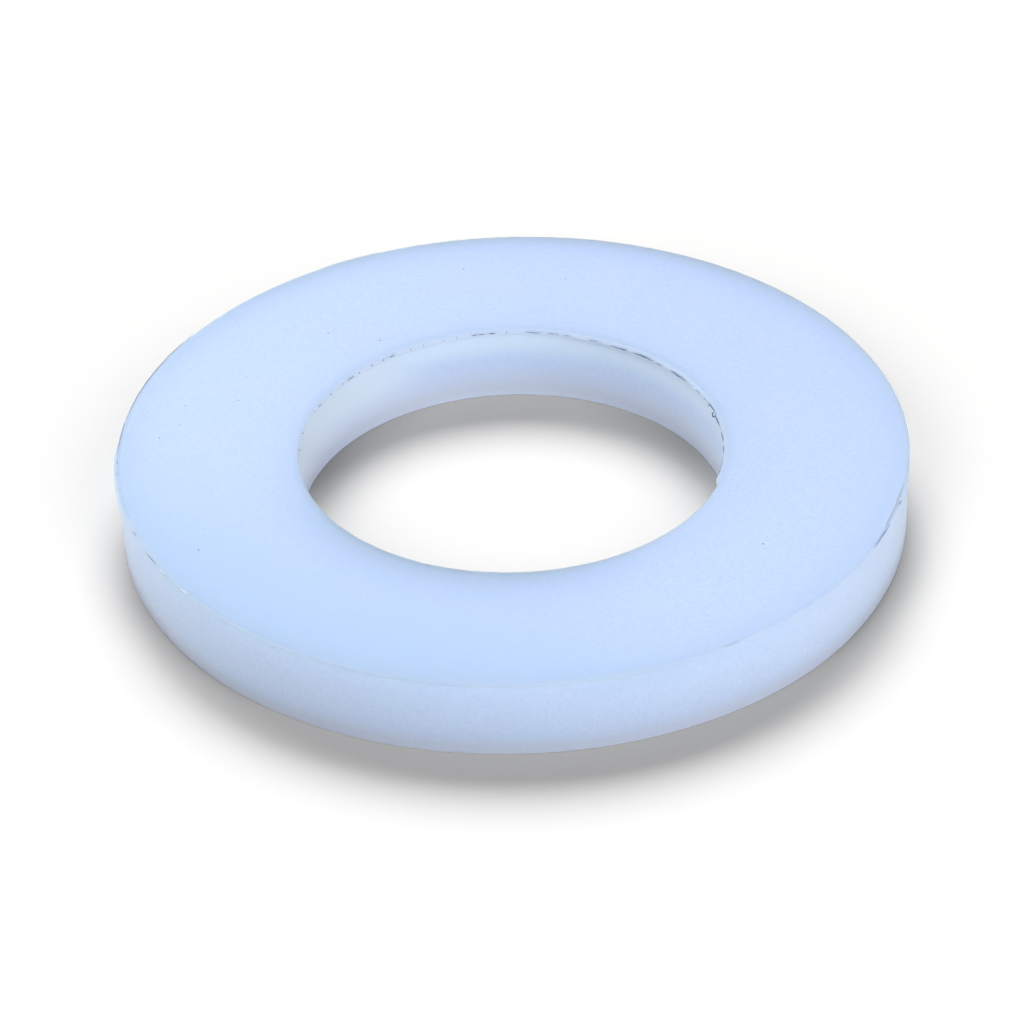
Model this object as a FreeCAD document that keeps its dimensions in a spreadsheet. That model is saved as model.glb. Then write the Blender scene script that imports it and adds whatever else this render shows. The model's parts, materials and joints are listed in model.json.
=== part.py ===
"""Flat polyamide washer for a 12 mm bolt, 13 x 24 x 2.5 mm.

The washer is one moulded piece. Its lower face is the origin plane, with the bore's axis on Z.
All four edges are crisp, with only the hairline rounding that moulding leaves on them.
The rounding is a little larger at the upper face, where the mould parts, than at the lower one.
"""

import FreeCAD, Part
import math
import os
import Sketcher

NODE = "flat_washer"
SHEET = "Dimensions"

# Alias, value in millimetres and meaning of each driving dimension.
DIMENSIONS = [
    ("bolt_diameter", 12.0, "nominal thread of the bolt that passes through"),
    ("bolt_clearance", 1.0, "bore diameter over bolt diameter"),
    ("outer_diameter", 24.0, "outside diameter of the ring"),
    ("thickness", 2.5, "distance between the two bearing faces"),
    ("lower_edge_radius", 0.03, "rounding of both edges at the lower face"),
    ("upper_edge_break", 0.08, "rounding of both edges at the upper face"),
]

ON_PLACE_MM = 1e-4
VOLUME_TOLERANCE_MM3 = 0.01


def make_sheet(doc):
    """The spreadsheet of driving dimensions: a meaning, a value with its alias, row by row."""
    sheet = doc.addObject("Spreadsheet::Sheet", SHEET)
    for row, (alias, value, meaning) in enumerate(DIMENSIONS, start=1):
        sheet.set(f"A{row}", meaning)
        sheet.set(f"B{row}", str(value))
        sheet.setAlias(f"B{row}", alias)
    doc.recompute()
    return sheet


def cell(alias):
    """An expression that reads one driving dimension."""
    return f"{SHEET}.{alias}"


def origin_plane(body, role):
    """One of the body's own origin planes."""
    return next(plane for plane in body.Origin.OriginFeatures if plane.Role == role)


def add_circle(sketch, name, diameter, expression):
    """A circle about the sketch's origin whose named diameter follows an expression."""
    circle = sketch.addGeometry(Part.Circle(FreeCAD.Vector(), FreeCAD.Vector(0, 0, 1), diameter / 2))
    centre_point, root_point, sketch_origin = 3, 1, -1
    sketch.addConstraint(Sketcher.Constraint("Coincident", circle, centre_point, sketch_origin, root_point))
    index = sketch.addConstraint(Sketcher.Constraint("Diameter", circle, diameter))
    sketch.renameConstraint(index, name)
    sketch.setExpression(f"Constraints.{name}", expression)


def circular_edges(shape, places):
    """Names of the full circles about Z that lie at the given (radius, height) places."""
    names = []
    for number, edge in enumerate(shape.Edges, start=1):
        if not isinstance(edge.Curve, Part.Circle) or not edge.isClosed():
            continue
        for radius, height in places:
            off_radius = abs(edge.Curve.Radius - radius)
            off_height = abs(edge.Curve.Center.z - height)
            if max(off_radius, off_height) < ON_PLACE_MM:
                names.append(f"Edge{number}")
    if len(names) != len(places):
        raise RuntimeError(f"found {len(names)} edges for {len(places)} places")
    return names


def add_fillet(body, name, places, alias):
    """Rounds the circular edges at the given places on the body's present tip."""
    base = body.Tip
    fillet = body.newObject("PartDesign::Fillet", name)
    fillet.Base = (base, circular_edges(base.Shape, places))
    fillet.setExpression("Radius", cell(alias))
    body.Document.recompute()
    return fillet


def make_washer(doc, sheet):
    """The ring: two concentric circles padded to the thickness, then its four edges rounded."""
    bore_diameter = sheet.bolt_diameter + sheet.bolt_clearance
    bore_radius, outer_radius = bore_diameter / 2, sheet.outer_diameter / 2
    lower, upper = 0.0, sheet.thickness

    body = doc.addObject("PartDesign::Body", "FlatWasher")
    body.Label = NODE

    ring = body.newObject("Sketcher::SketchObject", "RingSketch")
    ring.AttachmentSupport = [(origin_plane(body, "XY_Plane"), "")]
    ring.MapMode = "FlatFace"
    add_circle(ring, "outside", sheet.outer_diameter, cell("outer_diameter"))
    add_circle(ring, "bore", bore_diameter, f"{cell('bolt_diameter')} + {cell('bolt_clearance')}")

    pad = body.newObject("PartDesign::Pad", "RingPad")
    pad.Profile = ring
    pad.setExpression("Length", cell("thickness"))
    doc.recompute()

    for name, height, alias in [
        ("LowerEdgeRounding", lower, "lower_edge_radius"),
        ("UpperEdgeBreak", upper, "upper_edge_break"),
    ]:
        add_fillet(body, name, [(outer_radius, height), (bore_radius, height)], alias)
    body.Placement = FreeCAD.Placement()
    return body


def rounded_off(edge_radius, rounding, outside):
    """Volume that a rounding takes off a circular corner, by Pappus's theorem."""
    area = rounding**2 * (1 - math.pi / 4)
    # The centroid of a square's corner left over by its quarter circle, measured from the corner.
    from_corner = rounding * (5 / 6 - math.pi / 4) / (1 - math.pi / 4)
    centroid = edge_radius - from_corner if outside else edge_radius + from_corner
    return 2 * math.pi * centroid * area


def expected_volume(sheet):
    """Volume of the rounded ring worked out from the driving dimensions alone."""
    outer = sheet.outer_diameter / 2
    bore = (sheet.bolt_diameter + sheet.bolt_clearance) / 2
    ring = math.pi * (outer**2 - bore**2) * sheet.thickness
    return ring - sum(
        rounded_off(outer, rounding, outside=True) + rounded_off(bore, rounding, outside=False)
        for rounding in (sheet.lower_edge_radius, sheet.upper_edge_break)
    )


def check(doc, sheet, body):
    """Stops before anything is written if a feature failed or the ring isn't the one described."""
    for item in doc.Objects:
        if "Invalid" in item.State or "Error" in item.State:
            raise RuntimeError(f"{item.Label} failed: {item.State}")
    shape = body.Shape
    if shape.isNull() or not shape.isValid() or len(shape.Solids) != 1:
        raise RuntimeError(f"{body.Label} isn't one valid solid")
    difference = abs(shape.Volume - expected_volume(sheet))
    if difference > VOLUME_TOLERANCE_MM3:
        raise RuntimeError(f"{body.Label}'s volume is {difference:.4f} mm3 from the expected one")
    print(f"{body.Label}: {shape.Volume:.3f} mm3, {len(shape.Faces)} faces, valid")


def main():
    doc = FreeCAD.newDocument("FlatWasher")
    sheet = make_sheet(doc)
    washer = make_washer(doc, sheet)
    doc.recompute()
    check(doc, sheet, washer)
    os.makedirs("parts", exist_ok=True)
    washer.Shape.exportStep(os.path.join("parts", f"{washer.Label}.step"))


main()
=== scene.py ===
"""Looks of the flat washer: natural polyamide, moulded, with a little flash left along its upper edges."""

import json
import math
import random

import bpy
from mathutils import Matrix, Vector, noise


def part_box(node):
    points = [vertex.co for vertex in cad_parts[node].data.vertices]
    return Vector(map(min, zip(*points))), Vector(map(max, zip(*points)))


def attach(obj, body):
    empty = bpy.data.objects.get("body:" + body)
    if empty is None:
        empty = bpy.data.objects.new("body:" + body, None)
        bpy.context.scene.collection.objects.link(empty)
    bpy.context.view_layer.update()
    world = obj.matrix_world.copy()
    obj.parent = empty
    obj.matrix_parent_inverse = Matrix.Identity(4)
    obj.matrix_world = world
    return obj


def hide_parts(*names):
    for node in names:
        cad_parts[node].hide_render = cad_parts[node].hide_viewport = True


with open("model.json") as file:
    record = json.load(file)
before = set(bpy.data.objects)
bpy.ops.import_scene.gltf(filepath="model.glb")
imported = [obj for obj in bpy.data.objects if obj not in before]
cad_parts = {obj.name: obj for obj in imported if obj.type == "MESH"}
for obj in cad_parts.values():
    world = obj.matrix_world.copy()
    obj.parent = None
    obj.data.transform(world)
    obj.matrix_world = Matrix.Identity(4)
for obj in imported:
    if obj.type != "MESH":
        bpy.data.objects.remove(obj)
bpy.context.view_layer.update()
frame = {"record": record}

NODE = "flat_washer"
BODY = "root"
MM = 0.001
SEED = 12

# The ring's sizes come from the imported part, and its edge roundings repeat the part's own.
low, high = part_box(NODE)
CENTRE = (low + high) / 2
OUTER_RADIUS = (high.x - low.x) / 2
THICKNESS = high.z - low.z
BORE = next(mount for mount in frame["record"]["mounts"] if mount["name"] == "bolt_bore")
BORE_RADIUS = BORE["dims"]["r_mm"] * MM
LOWER_EDGE_RADIUS = 0.03 * MM
UPPER_EDGE_BREAK = 0.08 * MM


# ---------------------------------------------------------------- shape helpers

def mesh_object(name, vertices, faces, material):
    """A smooth mesh object with one material, riding on the washer's body."""
    mesh = bpy.data.meshes.new(name)
    mesh.from_pydata(vertices, [], faces)
    mesh.materials.append(material)
    mesh.polygons.foreach_set("use_smooth", [True] * len(mesh.polygons))
    piece = bpy.data.objects.new(name, mesh)
    bpy.context.scene.collection.objects.link(piece)
    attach(piece, BODY)
    return piece


def on_ring(degrees, r, z):
    """The point at that angle (0 is +X, 90 is +Y), distance from the axis and height."""
    angle = math.radians(degrees)
    return Vector((CENTRE.x + r * math.cos(angle), CENTRE.y + r * math.sin(angle), z))


def arc(centre_r, centre_z, radius, start, end, steps):
    """Points (r, z) along an arc of the profile, angles in degrees from +r towards +z."""
    points = []
    for step in range(steps + 1):
        angle = math.radians(start + (end - start) * step / steps)
        points.append((centre_r + radius * math.cos(angle), centre_z + radius * math.sin(angle)))
    return points


def line(start, end, steps):
    """Points between two profile points, without the ends."""
    return [
        (start[0] + (end[0] - start[0]) * step / steps, start[1] + (end[1] - start[1]) * step / steps)
        for step in range(1, steps)
    ]


def smooth(value):
    """0 up to 0, 1 from 1, and an S-shaped rise between them."""
    value = min(max(value, 0.0), 1.0)
    return value * value * (3 - 2 * value)


def bell(value):
    """1 at 0, falling to nothing on both sides, with a width of about 1."""
    return math.exp(-value * value)


def within(degrees, start, end, fade):
    """1 between the two angles, falling softly to 0 over the fade outside them.

    The sectors below are these three values in degrees: start, end and fade.
    """
    middle, half = (start + end) / 2, (end - start) / 2
    away = abs((degrees - middle + 180) % 360 - 180)
    return smooth(1 - (away - half) / fade)


def wander(degrees, wavelength, seed):
    """Smooth noise between -1 and 1 around the ring, about one swing per wavelength in degrees."""
    angle = math.radians(degrees)
    radius = math.degrees(1) / wavelength
    return noise.noise(Vector((radius * math.cos(angle), radius * math.sin(angle), seed)))


def off_edges(r, height):
    """Distance to the nearer edge of a face, from a point at that radius and height off the face."""
    return min(math.hypot(OUTER_RADIUS - r, height), math.hypot(r - BORE_RADIUS, height))


# ---------------------------------------------------------------- section of the ring

# Width of the bands along the upper edges, where the burrs are and the section is finer.
EDGE_BAND = 0.25 * MM
LOWER_EDGE_STEPS = 6
UPPER_EDGE_STEPS = 8


def ring_profile():
    """The closed section of the ring, anticlockwise from the outer lower edge.

    It is finer close to the upper edges.
    """
    bottom, top = low.z, high.z
    lower, upper = LOWER_EDGE_RADIUS, UPPER_EDGE_BREAK
    outer_low = arc(OUTER_RADIUS - lower, bottom + lower, lower, -90, 0, LOWER_EDGE_STEPS)
    outer_high = arc(OUTER_RADIUS - upper, top - upper, upper, 0, 90, UPPER_EDGE_STEPS)
    bore_high = arc(BORE_RADIUS + upper, top - upper, upper, 90, 180, UPPER_EDGE_STEPS)
    bore_low = arc(BORE_RADIUS + lower, bottom + lower, lower, 180, 270, LOWER_EDGE_STEPS)
    below_rim = (OUTER_RADIUS, top - EDGE_BAND)
    inside_rim = (OUTER_RADIUS - EDGE_BAND, top)
    below_bore = (BORE_RADIUS, top - EDGE_BAND)

    # Points in turn, the point that the straight run after them ends at, and the steps of that run.
    stretches = [
        (outer_low, below_rim, 20),
        ([below_rim], outer_high[0], 12),
        (outer_high, inside_rim, 10),
        ([inside_rim], bore_high[0], 24),
        (bore_high, below_bore, 12),
        ([below_bore], bore_low[0], 20),
        (bore_low, outer_low[0], 12),
    ]
    profile = []
    for points, following, steps in stretches:
        profile += points + line(points[-1], following, steps)
    return profile


# Start and end in degrees of the burrs on the two upper edges, and how far they stand out in mm. A negative
# one is a dent.
RIM_BURRS = [(112, 118, 0.03), (148, 176, 0.05), (179, 194, 0.10), (338, 346, -0.04)]
BORE_BURRS = [(-18, 72, 0.12), (75, 155, 0.05)]
BURR_FADE = 3

# Height of the small waves along the upper edges, their length in degrees, and each edge's own seed.
EDGE_WAVES = 0.012 * MM
EDGE_WAVELENGTH = 2.5
RIM_SEED = 4
BORE_SEED = 2


def burr(degrees, z, burrs, seed):
    """How far an edge stands out there, all of it close to the upper face."""
    nearness = smooth(2 - 2 * (high.z - z) / EDGE_BAND)
    size = sum(size * MM * within(degrees, start, end, BURR_FADE) for start, end, size in burrs)
    return nearness * (size + EDGE_WAVES * wander(degrees, EDGE_WAVELENGTH, seed))


def rim_burr(degrees, z):
    """How far the outer upper edge stands out from the true rim."""
    return burr(degrees, z, RIM_BURRS, RIM_SEED)


def bore_burr(degrees, z):
    """How far the bore's upper edge stands in from the true bore."""
    return burr(degrees, z, BORE_BURRS, BORE_SEED)


WALL_LEAN = 0.06 * MM
UPRIGHT_SECTOR = (228, 312, 25)


def wall_lean(degrees, z):
    """How far the outer wall leans in towards its foot, everywhere except at the front."""
    return WALL_LEAN * (1 - within(degrees, *UPRIGHT_SECTOR)) * (high.z - z) / THICKNESS


def offset(degrees, r, z):
    """How far a point of the true section moves outwards."""
    if r > OUTER_RADIUS - UPPER_EDGE_BREAK:
        return rim_burr(degrees, z) - wall_lean(degrees, z)
    if r < BORE_RADIUS + UPPER_EDGE_BREAK:
        return -bore_burr(degrees, z)
    return 0.0


# ---------------------------------------------------------------- marks on the surface
# Each mark is a strength at a point of the true section, from 0 for none of it to 1 or more for all of it.
# Apart from scattering, every mark below paints light or shade into the plastic's colour.

FIRM_EDGE_REACH = 0.3 * MM


def scattering(degrees, r, z):
    """How much of the light spreads inside the plastic: all of it, except right at the two lower edges."""
    return 1 - bell(off_edges(r, z - low.z) / FIRM_EDGE_REACH)


# Where painted shade darkens the front of the upper face to a deeper blue, from which radius on it grows
# outwards and over what width, and its strength inside and outside of that.
PAINTED_FRONT_SECTOR = (220, 256, 50)
PAINTED_FRONT_START = 8 * MM
PAINTED_FRONT_WIDTH = 3 * MM
PAINTED_FRONT_INSIDE = 0.3
PAINTED_FRONT_OUTSIDE = 0.9


def painted_front_shade(degrees, r, z):
    """How much painted shade deepens the blue of the upper face at the front, mostly on its outer half."""
    outwards = smooth((r - PAINTED_FRONT_START) / PAINTED_FRONT_WIDTH)
    upper = smooth(1 - (high.z - z) / EDGE_BAND)
    return upper * within(degrees, *PAINTED_FRONT_SECTOR) * (PAINTED_FRONT_INSIDE + (PAINTED_FRONT_OUTSIDE - PAINTED_FRONT_INSIDE) * outwards)


# Painted light on the bore's wall: it pales the wall's top, and the whole wall on the left.
# Where the bore is pale all the way down, the strength at its top elsewhere, and the height that takes.
PALE_LEFT_SECTOR = (135, 195, 30)
PALE_TOP = 0.8
PALE_TOP_HEIGHT = 0.3 * THICKNESS


def painted_bore_light(degrees, r, z):
    """How much painted light pales the bore's wall, towards its top and all the way down on the left."""
    if r > BORE_RADIUS + UPPER_EDGE_BREAK:
        return 0.0
    upper = smooth((z - CENTRE.z) / PALE_TOP_HEIGHT)
    below_edge = smooth(2 * (high.z - z) / EDGE_BAND)
    return below_edge * max(PALE_TOP * upper, within(degrees, *PALE_LEFT_SECTOR))


# Height above the lower face and strength of the painted shade on the outer wall and on the bore's wall.
RIM_FOOT = (0.8 * MM, 0.7)
BORE_FOOT = (1.6 * MM, 1.0)


def painted_foot_shade(degrees, r, z):
    """How much painted shade greys the two walls towards the lower face, higher up in the bore than
    outside.
    """
    outside = r > (OUTER_RADIUS + BORE_RADIUS) / 2
    height, strength = RIM_FOOT if outside else BORE_FOOT
    return strength * smooth(1 - (z - low.z) / height)


# Reach of the painted shade along the upper edges, and how much faster it falls off down the walls: as a
# rule, and in the sector where it falls off more slowly.
SHADE_REACH = 0.5 * MM
WALL_SHADE_FALL = 4.0
SLOW_SHADE_FALL = 1.8
SLOW_SECTOR = (285, 345, 15)

# Strength of the band around the rim, and what the back adds to it.
RIM_SHADE = 0.56
BACK_SHADE = 0.5
BACK_SECTOR = (60, 120, 50)

# Strength of the band around the bore, what the front adds to it, and how much wider it is there.
BORE_SHADE = 0.35
FRONT_SHADE = 0.65
FRONT_SECTOR = (235, 270, 60)
FRONT_WIDENING = 0.6

# Strength and reach of the extra painted shade right on the roundings, over the light they would catch.
LIP_SHADE = 0.3
LIP_REACH = 0.7 * UPPER_EDGE_BREAK


def painted_edge_shade(degrees, r, z):
    """How much painted shade darkens the surface close to the two upper edges, most at the front of the
    bore.

    Down the walls the shade falls off quickly, but more slowly at the front on the right.
    """
    slow = within(degrees, *SLOW_SECTOR)
    down = (WALL_SHADE_FALL + (SLOW_SHADE_FALL - WALL_SHADE_FALL) * slow) * (high.z - z)
    from_rim = math.hypot(OUTER_RADIUS - r, down) / SHADE_REACH
    from_bore = math.hypot(r - BORE_RADIUS, down) / SHADE_REACH
    back = within(degrees, *BACK_SECTOR)
    front = within(degrees, *FRONT_SECTOR)
    rim_part = (RIM_SHADE + BACK_SHADE * back) * math.exp(-from_rim)
    bore_part = (BORE_SHADE + FRONT_SHADE * front) * math.exp(-from_bore / (1 + FRONT_WIDENING * front))
    lip = smooth(2 - off_edges(r, high.z - z) / LIP_REACH)
    return rim_part + bore_part + LIP_SHADE * lip


PALE_EDGE_REACH = 0.15 * MM


def painted_lower_edge_light(degrees, r, z):
    """Close to 1 on the two lower edges, which painted light makes a little paler than the walls' feet."""
    return bell(off_edges(r, z - low.z) / PALE_EDGE_REACH)


# Start and end in degrees, strength, and depth in mm below the face, of the painted shade line along the
# rim.
# A negative depth lies on the face, inside the edge.
RIM_LINES = [
    (217, 239, 0.40, -0.10), (241, 262, 0.45, 0.03), (264, 285, 0.25, 0.0), (288, 306, 0.5, 0.0),
    (308, 342, 1.0, 0.0),
]
RIM_LINE_WIDTH = 0.07 * MM
RIM_LINE_FADE = 2

# The line's usual strength, and how much that varies, over how many degrees and with which seed.
RIM_LINE_LEVEL = 0.8
RIM_LINE_SWING = 0.6
RIM_LINE_WAVELENGTH = 3
RIM_LINE_SEED = 1.7


def rim_shade_line(degrees, r, z):
    """Strength of the painted shade line at a point of the section near the outer upper edge."""
    if r < OUTER_RADIUS - EDGE_BAND:
        return 0.0
    down = high.z - z + r - OUTER_RADIUS
    strength = 0.0
    for start, end, amount, depth in RIM_LINES:
        away = (down - depth * MM) / RIM_LINE_WIDTH
        strength += amount * within(degrees, start, end, RIM_LINE_FADE) * bell(away)
    swing = RIM_LINE_SWING * wander(degrees, RIM_LINE_WAVELENGTH, RIM_LINE_SEED)
    return strength * (RIM_LINE_LEVEL + swing)


MARKS = {
    "scattering": scattering,
    "painted_front_shade": painted_front_shade,
    "painted_bore_light": painted_bore_light,
    "painted_foot_shade": painted_foot_shade,
    "painted_edge_shade": painted_edge_shade,
    "painted_lower_edge_light": painted_lower_edge_light,
    "rim_shade_line": rim_shade_line,
}


# ---------------------------------------------------------------- the ring

RING_STEPS = 720


def make_ring(material):
    """The washer itself, turned from its section, with its slightly uneven upper edges."""
    profile = ring_profile()
    vertices, faces = [], []
    strengths = {name: [] for name in MARKS}
    for step in range(RING_STEPS):
        degrees = 360 * step / RING_STEPS
        for r, z in profile:
            vertices.append(on_ring(degrees, r + offset(degrees, r, z), z))
            for name, mark in MARKS.items():
                strengths[name].append(mark(degrees, r, z))
    count = len(profile)
    for step in range(RING_STEPS):
        here, beside = step * count, (step + 1) % RING_STEPS * count
        for index in range(count):
            after = (index + 1) % count
            faces.append((here + index, beside + index, beside + after, here + after))
    ring = mesh_object("washer_ring", vertices, faces, material)
    for name, values in strengths.items():
        ring.data.attributes.new(name, "FLOAT", "POINT").data.foreach_set("value", values)
    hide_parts(NODE)
    return ring


# ---------------------------------------------------------------- flash and specks

class Shreds:
    """Many small closed shapes gathered into one mesh."""

    def __init__(self):
        self.vertices = []
        self.faces = []

    def thread(self, points, half_width, sides=6):
        """A thread through the points, drawn out to a tip at both ends."""
        first = len(self.vertices)
        self.vertices += [points[0], points[-1]]
        across = (points[1] - points[0]).orthogonal()
        last = len(points) - 1
        for index in range(1, last):
            along = (points[index + 1] - points[index - 1]).normalized()
            across = (across - along * across.dot(along)).normalized()
            beside = along.cross(across)
            thickness = half_width * math.sqrt(math.sin(math.pi * index / last))
            for side in range(sides):
                turn = 2 * math.pi * side / sides
                outward = across * math.cos(turn) + beside * math.sin(turn)
                self.vertices.append(points[index] + outward * thickness)
        rings = [first + 2 + sides * index for index in range(last - 1)]
        for side in range(sides):
            after = (side + 1) % sides
            self.faces.append((first, rings[0] + after, rings[0] + side))
            self.faces.append((first + 1, rings[-1] + side, rings[-1] + after))
            for here, beyond in zip(rings, rings[1:]):
                self.faces.append((here + side, here + after, beyond + after, beyond + side))

    def grain(self, centre, half_width, half_height):
        """A flattened grain: a short, thick thread pressed down."""
        first = len(self.vertices)
        half_steps = 3
        points = [
            centre + Vector((half_width * step / half_steps, 0, 0))
            for step in range(-half_steps, half_steps + 1)
        ]
        self.thread(points, half_width, sides=8)
        for vertex in self.vertices[first:]:
            vertex.z = centre.z + (vertex.z - centre.z) * half_height / half_width

    def piece(self, name, material):
        """The mesh object of all the shapes."""
        return mesh_object(name, self.vertices, self.faces, material)


# Length in degrees of the shreds' wandering, and its seeds across the edge and up and down.
SHRED_WAVELENGTH = 1.5
ASIDE_SEED = 3.1
ABOVE_SEED = 6.4
SHRED_STEPS_PER_DEGREE = 3
FEWEST_SHRED_STEPS = 6


def along_edge(start, end, r, z, unsteadiness):
    """Points around the ring from one angle to the other, wandering a little."""
    steps = max(FEWEST_SHRED_STEPS, round(SHRED_STEPS_PER_DEGREE * (end - start)))
    points = []
    for step in range(steps + 1):
        degrees = start + (end - start) * step / steps
        aside = unsteadiness * wander(degrees, SHRED_WAVELENGTH, ASIDE_SEED)
        above = unsteadiness * wander(degrees, SHRED_WAVELENGTH, ABOVE_SEED)
        points.append(on_ring(degrees, r + aside, z + above))
    return points


# How far the flash in the bore lies below the face, and how far it stands clear of the burred edge.
BORE_FLASH_DEPTH = 0.10 * MM
BORE_FLASH_OUTSET = 0.01 * MM

# Start and end in degrees and half width in mm of the shreds of flash along the bore's upper edge.
BORE_FLASH = [
    (343, 353, 0.010), (355, 359, 0.012), (360.5, 365.5, 0.018), (367.5, 374, 0.018), (384, 390, 0.007),
    (391.8, 396, 0.012), (393, 399.2, 0.021), (402.3, 405, 0.013), (405.7, 413.3, 0.020),
    (407, 412, 0.024), (415, 418, 0.022), (415, 421, 0.014), (423, 428, 0.012),
    (432, 435, 0.011), (436, 440, 0.012), (441, 446, 0.012), (94, 96, 0.018), (97, 99, 0.014),
    (99, 101, 0.015), (124, 126, 0.014), (139, 142, 0.014), (155, 157, 0.014),
]

# Degrees of the single crumbs along the same edge, their least and greatest half width in mm, and their
# half height.
BORE_CRUMBS = [22, 91, 95, 105, 109, 115, 119, 128, 132, 137, 144, 150, 159, 170, 178]
CRUMB_WIDTHS = (0.016, 0.026)
CRUMB_HEIGHT = 0.02 * MM

# Start and end in degrees and half width in mm of the shreds along the outer upper edge.
RIM_FLASH = [
    (146, 158, 0.008), (152, 170, 0.010), (168, 180, 0.009), (181, 182, 0.010), (184, 185, 0.010),
    (199, 200.5, 0.010), (205, 208, 0.010), (299, 302, 0.005), (331, 337.5, 0.011), (333, 336, 0.014),
    (342, 343.5, 0.012),
]

# Start and end in degrees and half width in mm of the clean, bright slivers left on the two upper edges.
# The slivers are real flash, and their near white colour paints the highlight along those edges.
RIM_SLIVERS = [
    (346, 361, 0.010), (358, 379, 0.010), (343, 344, 0.014), (209, 211, 0.012), (215, 217, 0.010),
]
BORE_SLIVERS = [(387, 389, 0.022), (389, 390, 0.012)]

# How far the shreds wander in the bore, along the rim, and as bright slivers.
BORE_UNSTEADINESS = 0.02 * MM
RIM_UNSTEADINESS = 0.015 * MM
SLIVER_UNSTEADINESS = 0.01 * MM

# Degrees and distance from the axis in mm of the specks moulded into the upper face.
SPECKS = [
    (124, 7.3), (113, 8.1), (131, 8.7), (153, 9.2), (161, 8.9), (165, 10.4), (171, 10.3), (175, 10.8),
    (169, 11.5), (161, 7.7), (98, 10.2), (79, 9.5), (203, 10.0), (208, 10.6), (323, 9.1),
]
SPECK_WIDTHS = (0.014, 0.030)
SPECK_HEIGHT = 0.004 * MM

# The curled shred: the burred edge it hangs from, the place of its loop in degrees, the loop's depth below
# the face and distance from that edge, and its half width.
CURL_EDGE = BORE_RADIUS - 0.12 * MM
CURL_DEGREES = 13.4
CURL_DEPTH = 0.06 * MM
CURL_OUTSET = 0.045 * MM
CURL_HALF_WIDTH = 0.024 * MM

# Size of the loop across the edge and up and down, and the degrees it starts at and turns through.
LOOP_HALF_DEPTH = 0.05 * MM
LOOP_HALF_HEIGHT = 0.085 * MM
LOOP_START = 60
LOOP_TURN = 340
LOOP_STEPS = 20

# Half width in mm of the two threads behind the loop, and for each of their points the degrees, the
# distance inside the burred edge in mm and the height above the loop's middle in mm.
CURL_STEM = (0.018, [
    (13.8, 0.0, 0.07), (15.3, -0.01, 0.03), (16.8, 0.0, 0.03), (18.2, 0.01, 0.04), (19.6, 0.02, 0.05),
])
CURL_FORK = (0.014, [(18.3, 0.0, 0.03), (18.1, 0.04, 0.0), (17.9, 0.08, -0.05)])


def bore_edge(degrees):
    """Distance from the axis to the bore's upper edge, burr and all."""
    return BORE_RADIUS - bore_burr(degrees, high.z)


def rim_edge(degrees):
    """Distance from the axis to the outer upper edge, burr and all."""
    return OUTER_RADIUS + rim_burr(degrees, high.z)


def add_curl(shreds):
    """One shred curled into a small open loop, with a thread behind it that forks near its end."""
    z = high.z - CURL_DEPTH
    loop = []
    for step in range(LOOP_STEPS + 1):
        turn = math.radians(LOOP_START + LOOP_TURN * step / LOOP_STEPS)
        r = CURL_EDGE - CURL_OUTSET + LOOP_HALF_DEPTH * math.cos(turn)
        loop.append(on_ring(CURL_DEGREES, r, z + LOOP_HALF_HEIGHT * math.sin(turn)))
    shreds.thread(loop, CURL_HALF_WIDTH)
    for half_width, route in (CURL_STEM, CURL_FORK):
        points = [
            on_ring(degrees, CURL_EDGE - inside * MM, z + above * MM)
            for degrees, inside, above in route
        ]
        shreds.thread(points, half_width * MM)


def make_bore_flash(material):
    """Dark shreds and crumbs of flash hanging from the bore's upper edge, one of them curled up."""
    shreds = Shreds()
    z = high.z - BORE_FLASH_DEPTH
    for start, end, half_width in BORE_FLASH:
        r = bore_edge((start + end) / 2) - BORE_FLASH_OUTSET
        shreds.thread(along_edge(start, end, r, z, BORE_UNSTEADINESS), half_width * MM)
    for degrees in BORE_CRUMBS:
        place = on_ring(degrees, bore_edge(degrees) - BORE_FLASH_OUTSET, z)
        shreds.grain(place, random.uniform(*CRUMB_WIDTHS) * MM, CRUMB_HEIGHT)
    add_curl(shreds)
    return shreds.piece("bore_flash", material)


def make_rim_flash(material):
    """Thin dark shreds along the outer upper edge."""
    shreds = Shreds()
    for start, end, half_width in RIM_FLASH:
        points = along_edge(start, end, OUTER_RADIUS, high.z, RIM_UNSTEADINESS)
        shreds.thread(points, half_width * MM)
    return shreds.piece("rim_flash", material)


def make_slivers(material):
    """Slivers of flash along both upper edges, near white as a painted highlight where they catch the
    light.
    """
    shreds = Shreds()
    for start, end, half_width in RIM_SLIVERS:
        points = along_edge(start, end, rim_edge((start + end) / 2), high.z, SLIVER_UNSTEADINESS)
        shreds.thread(points, half_width * MM)
    z = high.z - BORE_FLASH_DEPTH
    for start, end, half_width in BORE_SLIVERS:
        points = along_edge(start, end, bore_edge((start + end) / 2), z, SLIVER_UNSTEADINESS)
        shreds.thread(points, half_width * MM)
    return shreds.piece("highlight_slivers", material)


def make_specks(material):
    """Small dark specks, sunk in the upper face."""
    shreds = Shreds()
    for degrees, r_mm in SPECKS:
        place = on_ring(degrees, r_mm * MM, high.z)
        shreds.grain(place, random.uniform(*SPECK_WIDTHS) * MM, SPECK_HEIGHT)
    return shreds.piece("surface_specks", material)


# ---------------------------------------------------------------- shader helpers

def new_material(name):
    """A material with its main shader, its nodes and its links."""
    material = bpy.data.materials.new(name)
    material.use_nodes = True
    nodes, links = material.node_tree.nodes, material.node_tree.links
    return material, nodes["Principled BSDF"], nodes, links


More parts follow.
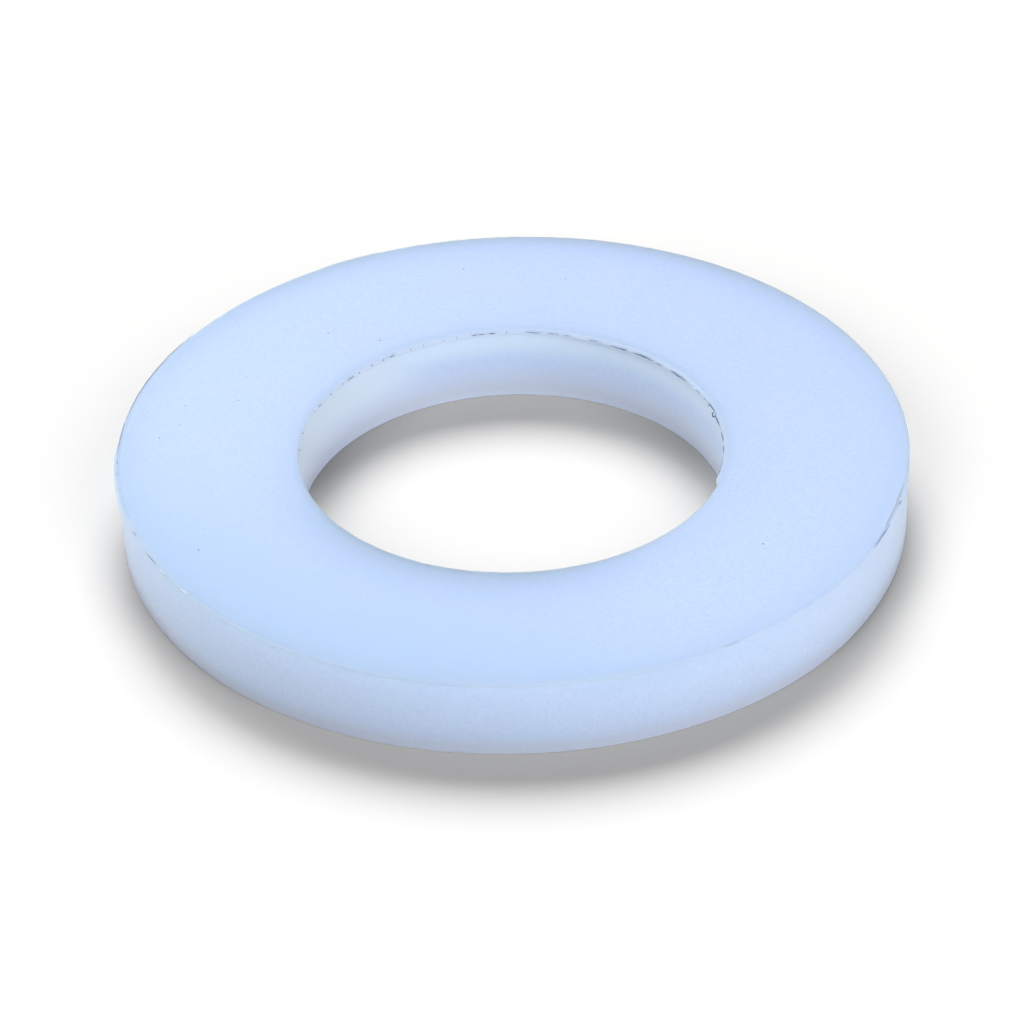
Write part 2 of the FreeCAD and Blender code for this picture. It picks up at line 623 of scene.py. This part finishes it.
def add_noise(nodes, links, size, detail):
    """Noise in the washer's own space, with features of about that size."""
    place = nodes.new("ShaderNodeTexCoord")
    texture = nodes.new("ShaderNodeTexNoise")
    texture.inputs["Scale"].default_value = 1 / size
    texture.inputs["Detail"].default_value = detail
    links.new(place.outputs["Object"], texture.inputs["Vector"])
    return texture.outputs["Fac"]


USUAL_NOISE_RANGE = (0.3, 0.7)
WHOLE_RANGE = (0.0, 1.0)


def add_range(nodes, links, source, old_range, new_range):
    """The source with its old range stretched to the new one, and held within it."""
    stretch = nodes.new("ShaderNodeMapRange")
    stretch.inputs["From Min"].default_value = old_range[0]
    stretch.inputs["From Max"].default_value = old_range[1]
    stretch.inputs["To Min"].default_value = new_range[0]
    stretch.inputs["To Max"].default_value = new_range[1]
    links.new(source, stretch.inputs["Value"])
    return stretch.outputs["Result"]


def spread(nodes, links, source, new_range):
    """The noise's usual range stretched to the new one."""
    return add_range(nodes, links, source, USUAL_NOISE_RANGE, new_range)


def blend(nodes, links, factor, first, second):
    """The first colour turning into the second as the factor goes from 0 to 1."""
    mix = nodes.new("ShaderNodeMix")
    mix.data_type = "RGBA"
    links.new(factor, mix.inputs["Factor"])
    sockets = [socket for socket in mix.inputs if socket.type == "RGBA"]
    for socket, colour in zip(sockets, (first, second)):
        if isinstance(colour, tuple):
            socket.default_value = (*colour, 1)
        else:
            links.new(colour, socket)
    return next(socket for socket in mix.outputs if socket.type == "RGBA")


def add_attribute(nodes, name):
    """The strength of one mark, as the mesh stores it."""
    attribute = nodes.new("ShaderNodeAttribute")
    attribute.attribute_name = name
    return attribute.outputs["Fac"]


def add_bump(nodes, links, shader, source, depth):
    """Unevenness of that depth, following the source."""
    bump = nodes.new("ShaderNodeBump")
    bump.inputs["Strength"].default_value = 1.0
    bump.inputs["Distance"].default_value = depth
    links.new(source, bump.inputs["Height"])
    links.new(bump.outputs["Normal"], shader.inputs["Normal"])


# ---------------------------------------------------------------- materials

# The two colours that drift over the part in wide patches, and the one that the grain adds.
POLYAMIDE_BLUE = (0.667, 0.795, 0.93)
POLYAMIDE_LAVENDER = (0.684, 0.785, 0.93)
POLYAMIDE_GRAIN = (0.590, 0.705, 0.88)
PATCH_SIZE = 2.4 * MM
GRAIN_SIZE = 0.11 * MM
GRAIN_DEPTH = 0.0015 * MM
GRAIN_MOTTLING = (0.0, 0.6)

# How dull the surface is, and how far light spreads inside the plastic.
POLYAMIDE_ROUGHNESS = (0.62, 0.78)
POLYAMIDE_IOR = 1.53
POLYAMIDE_SPECULAR = 0.1
POLYAMIDE_REACH = 0.65 * MM

# The colour that each mark turns the plastic to, each laid over those before it. Scattering has none.
# Each of these colours is painted light or shade laid into the plastic's colour.
MARK_COLOURS = {
    "painted_front_shade": (0.57, 0.715, 0.82),
    "painted_bore_light": (0.785, 0.88, 1.0),
    "painted_foot_shade": (0.68, 0.72, 0.765),
    "painted_edge_shade": (0.43, 0.53, 0.58),
    "painted_lower_edge_light": (0.74, 0.80, 0.88),
    "rim_shade_line": (0.44, 0.54, 0.70),
}


def polyamide_material():
    """Natural polyamide: milky, pale icy blue, nearly matt, with a very fine moulded grain."""
    material, shader, nodes, links = new_material("natural_polyamide")
    grain = add_noise(nodes, links, GRAIN_SIZE, detail=2.0)
    patches = spread(nodes, links, add_noise(nodes, links, PATCH_SIZE, detail=1.0), WHOLE_RANGE)
    mottling = spread(nodes, links, grain, GRAIN_MOTTLING)

    colour = blend(nodes, links, patches, POLYAMIDE_BLUE, POLYAMIDE_LAVENDER)
    colour = blend(nodes, links, mottling, colour, POLYAMIDE_GRAIN)
    # Painted light and shade from the marks, laid over the plastic's own colour.
    for name, mark_colour in MARK_COLOURS.items():
        colour = blend(nodes, links, add_attribute(nodes, name), colour, mark_colour)
    links.new(colour, shader.inputs["Base Color"])

    links.new(spread(nodes, links, grain, POLYAMIDE_ROUGHNESS), shader.inputs["Roughness"])
    add_bump(nodes, links, shader, grain, GRAIN_DEPTH)
    shader.inputs["IOR"].default_value = POLYAMIDE_IOR
    shader.inputs["Specular IOR Level"].default_value = POLYAMIDE_SPECULAR
    links.new(add_attribute(nodes, "scattering"), shader.inputs["Subsurface Weight"])
    shader.inputs["Subsurface Radius"].default_value = (1.0, 1.0, 1.0)
    shader.inputs["Subsurface Scale"].default_value = POLYAMIDE_REACH
    return material


FLASH_UNEVENNESS = 0.003 * MM


def flash_material(name, cloud_size, first, second, roughness):
    """Shreds of polyamide with clouds of two colours, the second also the rougher."""
    material, shader, nodes, links = new_material(name)
    clouds = spread(nodes, links, add_noise(nodes, links, cloud_size, detail=2.0), WHOLE_RANGE)
    links.new(blend(nodes, links, clouds, first, second), shader.inputs["Base Color"])
    links.new(spread(nodes, links, clouds, roughness), shader.inputs["Roughness"])
    add_bump(nodes, links, shader, clouds, FLASH_UNEVENNESS)
    return material


def dark_flash_material():
    """Dark slate-grey shreds, in clouds of a darker and a lighter grey."""
    return flash_material(
        "dark_flash",
        cloud_size=0.15 * MM,
        first=(0.07, 0.10, 0.19),
        second=(0.17, 0.23, 0.36),
        roughness=(0.55, 0.75),
    )


def sliver_highlight_material():
    """Shreds in almost white, which paints the highlight they catch."""
    return flash_material(
        "sliver_highlight",
        cloud_size=0.2 * MM,
        first=(0.90, 0.94, 0.97),
        second=(0.80, 0.88, 0.96),
        roughness=(0.3, 0.45),
    )


# ---------------------------------------------------------------- floor

# Half width of the floor in metres, the share of light it sends back, and how bright that makes it.
FLOOR_HALF_WIDTH = 4.0
FLOOR_ALBEDO = 0.25
FLOOR_RADIANCE = 1.0


def floor_material():
    """A pale matt sweep."""
    material, shader, _, _ = new_material("floor")
    shader.inputs["Base Color"].default_value = (FLOOR_ALBEDO, FLOOR_ALBEDO, FLOOR_ALBEDO, 1)
    shader.inputs["Roughness"].default_value = 1.0
    shader.inputs["Specular IOR Level"].default_value = 0.0
    return material


def make_floor():
    """The floor that the washer lies on."""
    half = FLOOR_HALF_WIDTH
    mesh = bpy.data.meshes.new("floor")
    corners = [(-half, -half, low.z), (half, -half, low.z), (half, half, low.z), (-half, half, low.z)]
    mesh.from_pydata(corners, [], [(0, 1, 2, 3)])
    mesh.materials.append(floor_material())
    floor = bpy.data.objects.new("floor", mesh)
    bpy.context.scene.collection.objects.link(floor)
    return floor


# ---------------------------------------------------------------- lights

def direction(azimuth, elevation):
    """Unit vector towards a place seen at that azimuth (0 is -Y, 90 is +X) and elevation, in degrees."""
    azimuth, elevation = math.radians(azimuth), math.radians(elevation)
    level = math.cos(elevation)
    return Vector((level * math.sin(azimuth), -level * math.cos(azimuth), math.sin(elevation)))


def link_only(light, *receivers):
    """The light reaches only these objects, though everything still casts its shadow."""
    group = bpy.data.collections.new(light.name + "_receivers")
    for receiver in receivers:
        group.objects.link(receiver)
    light.light_linking.receiver_collection = group


def add_light(name, data, azimuth, elevation, distance):
    """A light at that place around the washer, pointed at its middle."""
    lamp = bpy.data.objects.new(name, data)
    back = direction(azimuth, elevation)
    lamp.location = CENTRE + back * distance
    lamp.rotation_mode = "QUATERNION"
    lamp.rotation_quaternion = back.to_track_quat("Z", "Y")
    bpy.context.scene.collection.objects.link(lamp)
    return lamp


def add_sun(name, azimuth, elevation, size_degrees, strength, colour):
    """A far light, seen as a disc of that size. Its distance makes no difference."""
    data = bpy.data.lights.new(name, "SUN")
    data.angle = math.radians(size_degrees)
    data.energy = strength
    data.color = colour
    return add_light(name, data, azimuth, elevation, distance=1.0)


def add_softbox(name, azimuth, elevation, distance, width, radiance, colour):
    """A square light near the washer, its energy worked out from its radiance."""
    data = bpy.data.lights.new(name, "AREA")
    data.shape = "SQUARE"
    data.size = width
    data.energy = radiance * math.pi * width**2
    data.color = colour
    return add_light(name, data, azimuth, elevation, distance)


WHITE = (1.0, 1.0, 1.0)
WARM_WHITE = (1.0, 0.985, 0.965)
COOL_BLUE = (0.775, 0.82, 1.0)

# Share of the whole, azimuth, elevation and size in degrees, and colour of each light on the floor.
FLOOR_LIGHTS = [
    ("key_left", 0.28, 196, 48, 33, WHITE),
    ("key_right", 0.39, 174, 47, 33, WHITE),
    ("fill_left", 0.195, -36, 38, 34, WARM_WHITE),
    ("fill_right", 0.145, 40, 38, 36, WARM_WHITE),
]

# Azimuth, elevation, distance and width in metres, and radiance of each softbox on the washer.
SOFTBOXES = [
    ("softbox_front", 0, 59, 0.4, 0.25, 8.05),
    ("softbox_side", 70, 55, 0.4, 0.25, 0.85),
    ("softbox_left", -120, 30, 0.07, 0.05, 3.5),
    ("softbox_right", 60, 30, 0.07, 0.05, 1.7),
]


def make_lights(floor, washer):
    """Broad suns that light only the floor, and softboxes that light only the washer's pieces."""
    for name, share, azimuth, elevation, size, colour in FLOOR_LIGHTS:
        strength = FLOOR_RADIANCE * share * math.pi / (FLOOR_ALBEDO * math.sin(math.radians(elevation)))
        link_only(add_sun(name, azimuth, elevation, size, strength, colour), floor)

    for name, azimuth, elevation, distance, width, radiance in SOFTBOXES:
        box = add_softbox(name, azimuth, elevation, distance, width, radiance, COOL_BLUE)
        link_only(box, *washer)


# ---------------------------------------------------------------- world

# Radiance of the room: a low band at the horizon, which fades between the two elevations, and a dome.
BAND_RADIANCE = 0.0534
DOME_RADIANCE = 0.0051
BAND_TOP = math.sin(math.radians(8))
BAND_END = math.sin(math.radians(16))


def make_world():
    """A faint glow in the room, with white behind everything, so that the floor runs out into white."""
    world = bpy.data.worlds.new("tent")
    bpy.context.scene.world = world
    world.use_nodes = True
    nodes, links = world.node_tree.nodes, world.node_tree.links
    background = nodes["Background"]
    background.inputs["Color"].default_value = (*WHITE, 1)
    place = nodes.new("ShaderNodeTexCoord")
    split = nodes.new("ShaderNodeSeparateXYZ")
    links.new(place.outputs["Generated"], split.inputs["Vector"])
    height = split.outputs["Z"]
    glow = add_range(nodes, links, height, (BAND_TOP, BAND_END), (BAND_RADIANCE, DOME_RADIANCE))
    ray = nodes.new("ShaderNodeLightPath")
    seen = nodes.new("ShaderNodeMath")
    seen.operation = "MAXIMUM"
    links.new(glow, seen.inputs[0])
    links.new(ray.outputs["Is Camera Ray"], seen.inputs[1])
    links.new(seen.outputs["Value"], background.inputs["Strength"])


# ---------------------------------------------------------------- camera

# The camera's distance is from the washer's middle, and its aim lies a little below and left of that.
LENS_MM = 173.6
SENSOR_MM = 36.0
CAMERA_ELEVATION = math.radians(34.748)
CAMERA_ROLL = math.radians(1.603)
CAMERA_DISTANCE = 150.37 * MM
AIM_BELOW = 0.988 * MM
AIM_LEFT = 0.063 * MM
NEAREST_SEEN = 0.01
FARTHEST_SEEN = 20.0


def make_camera():
    """A long lens in front of the washer and above it, rolled a little to bring the right side up."""
    back = Vector((0, -math.cos(CAMERA_ELEVATION), math.sin(CAMERA_ELEVATION)))
    level_right = Vector((1, 0, 0))
    level_up = back.cross(level_right)
    right = math.cos(CAMERA_ROLL) * level_right - math.sin(CAMERA_ROLL) * level_up
    up = math.sin(CAMERA_ROLL) * level_right + math.cos(CAMERA_ROLL) * level_up

    place = CENTRE + back * CAMERA_DISTANCE
    aim = CENTRE - up * AIM_BELOW - right * AIM_LEFT
    back = (place - aim).normalized()
    right = up.cross(back).normalized()
    up = back.cross(right)

    data = bpy.data.cameras.new("camera")
    data.lens = LENS_MM
    data.sensor_width = SENSOR_MM
    data.clip_start = NEAREST_SEEN
    data.clip_end = FARTHEST_SEEN
    camera = bpy.data.objects.new("camera", data)
    axes = Matrix((right, up, back)).transposed().to_4x4()
    camera.matrix_world = Matrix.Translation(place) @ axes
    bpy.context.scene.collection.objects.link(camera)
    bpy.context.scene.camera = camera


# ---------------------------------------------------------------- scene

bpy.context.scene.view_settings.view_transform = "Standard"

random.seed(SEED)
ring = make_ring(polyamide_material())
dark_shreds = dark_flash_material()
painted_highlight = sliver_highlight_material()
details = [
    make_bore_flash(dark_shreds),
    make_rim_flash(dark_shreds),
    make_specks(dark_shreds),
    make_slivers(painted_highlight),
]
floor = make_floor()
make_lights(floor, [ring, *details])
make_world()
make_camera()
